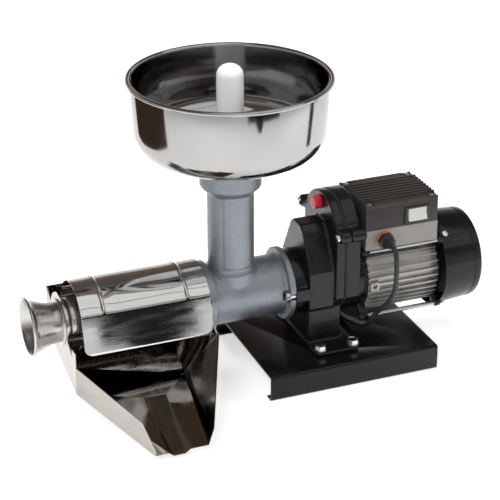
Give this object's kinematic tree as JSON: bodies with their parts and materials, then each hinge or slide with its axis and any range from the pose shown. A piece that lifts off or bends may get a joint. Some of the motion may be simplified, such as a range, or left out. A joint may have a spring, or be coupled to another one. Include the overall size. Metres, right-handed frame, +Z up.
{
  "type": "tomato strainer",
  "caption": "Motor driven tomato strainer: a hopper bowl feeds a screw that presses fruit through a cone screen onto a sauce chute, on a folded steel base.",
  "frame": {"origin": "bottom centre of everything but the cord, on the table the base stands on", "axes": "+X along the drive from the waste outlet to the fan cover, +Z up, -Y towards the chute's lip"},
  "size_m": [0.6176, 0.422, 0.43],
  "materials": {
    "black_gloss": "near black gloss enamel",
    "case_black": "satin gloss black paint on cast metal",
    "zinc": "bright zinc plated steel",
    "cast_aluminium": "sand cast aluminium, fine grain",
    "motor_aluminium": "die cast aluminium, warm silver",
    "stainless": "mirror polished stainless steel",
    "brushed_stainless": "brushed stainless steel",
    "screen_steel": "perforated stainless steel",
    "white_plastic": "smooth white plastic",
    "auger_plastic": "white food grade plastic",
    "box_plastic": "matte dark warm grey plastic",
    "black_plastic": "gloss black plastic",
    "fan_plastic": "matte black plastic",
    "rocker_plastic": "pale grey plastic",
    "red_plug": "bright red plastic",
    "orange_seal": "orange red rubber",
    "black_rubber": "black rubber",
    "gear_steel": "machined steel",
    "core_steel": "laminated electrical steel",
    "copper_wire": "enamelled copper wire",
    "bronze": "sintered bronze",
    "gasket_paper": "grey gasket paper",
    "capacitor_plastic": "plain pale plastic can"
  },
  "bodies": {
    "frame": {"base_plate": "black_gloss", "foot_bolts": "zinc", "foot_nuts": "zinc", "gearbox_front_case": "case_black", "gearbox_rear_case": "case_black", "case_gasket": "gasket_paper", "case_screws": "zinc", "oil_plug": "red_plug", "body_adapter_ring": "case_black", "output_bearing_front": "gear_steel", "output_bearing_rear": "gear_steel", "countershaft_bushes": "bronze", "strainer_body": "cast_aluminium", "body_bolts": "zinc", "auger_seal": "black_rubber", "screen_cone": "screen_steel", "outlet_ring": "brushed_stainless", "waste_outlet": "brushed_stainless", "splash_cover": "stainless", "sauce_chute": "stainless", "hopper_bowl": "stainless", "stator_housing": "motor_aluminium", "stator_core": "core_steel", "stator_windings": "copper_wire", "front_shield": "case_black", "rear_shield": "case_black", "motor_bearings": "gear_steel", "fan_cover": "black_gloss", "fan_cover_screws": "zinc", "tie_rods": "zinc", "terminal_base": "motor_aluminium", "control_box": "box_plastic", "capacitor": "capacitor_plastic", "box_lid": "box_plastic", "lid_screws": "zinc", "switch_frame": "black_plastic", "cable_gland": "black_plastic", "gland_washer": "orange_seal", "mains_cord": "black_rubber", "cord_coil": "black_rubber", "coil_tie": "black_plastic", "cord_tail": "black_rubber", "plug_body": "black_rubber", "plug_pins": "zinc"},
    "output": {"output_shaft": "gear_steel", "output_gear": "gear_steel", "auger": "auger_plastic"},
    "counter": {"countershaft": "gear_steel", "countershaft_gear": "gear_steel", "countershaft_pinion": "gear_steel"},
    "rotor": {"rotor": "core_steel", "rotor_shaft": "gear_steel", "motor_pinion": "gear_steel", "cooling_fan": "fan_plastic"},
    "pusher": {"pusher": "white_plastic"},
    "rocker": {"switch_rocker": "rocker_plastic"}
  },
  "joints": [
    {"name": "output_spin", "type": "hinge", "parent": "frame", "child": "output", "pos_m": [0.04275, 0.02995, 0.115], "axis": [1, 0, 0], "continuous": true},
    {"name": "counter_spin", "type": "hinge", "parent": "frame", "child": "counter", "pos_m": [0.09275, 0.02995, 0.173], "axis": [1, 0, 0], "continuous": true},
    {"name": "rotor_spin", "type": "hinge", "parent": "frame", "child": "rotor", "pos_m": [0.19275, 0.02995, 0.115], "axis": [1, 0, 0], "continuous": true},
    {"name": "pusher_lift", "type": "slide", "parent": "frame", "child": "pusher", "axis": [0, 0, 1], "range_m": [0, 0.2]},
    {"name": "switch_rock", "type": "hinge", "parent": "frame", "child": "rocker", "pos_m": [0.20775, -0.02105, 0.209], "axis": [1, 0, 0], "range_deg": [0, 20]}
  ],
  "couplings": [
    {"joint": "counter_spin", "follows": "output_spin", "ratio": -2.4118},
    {"joint": "rotor_spin", "follows": "output_spin", "ratio": 7.5798}
  ]
}
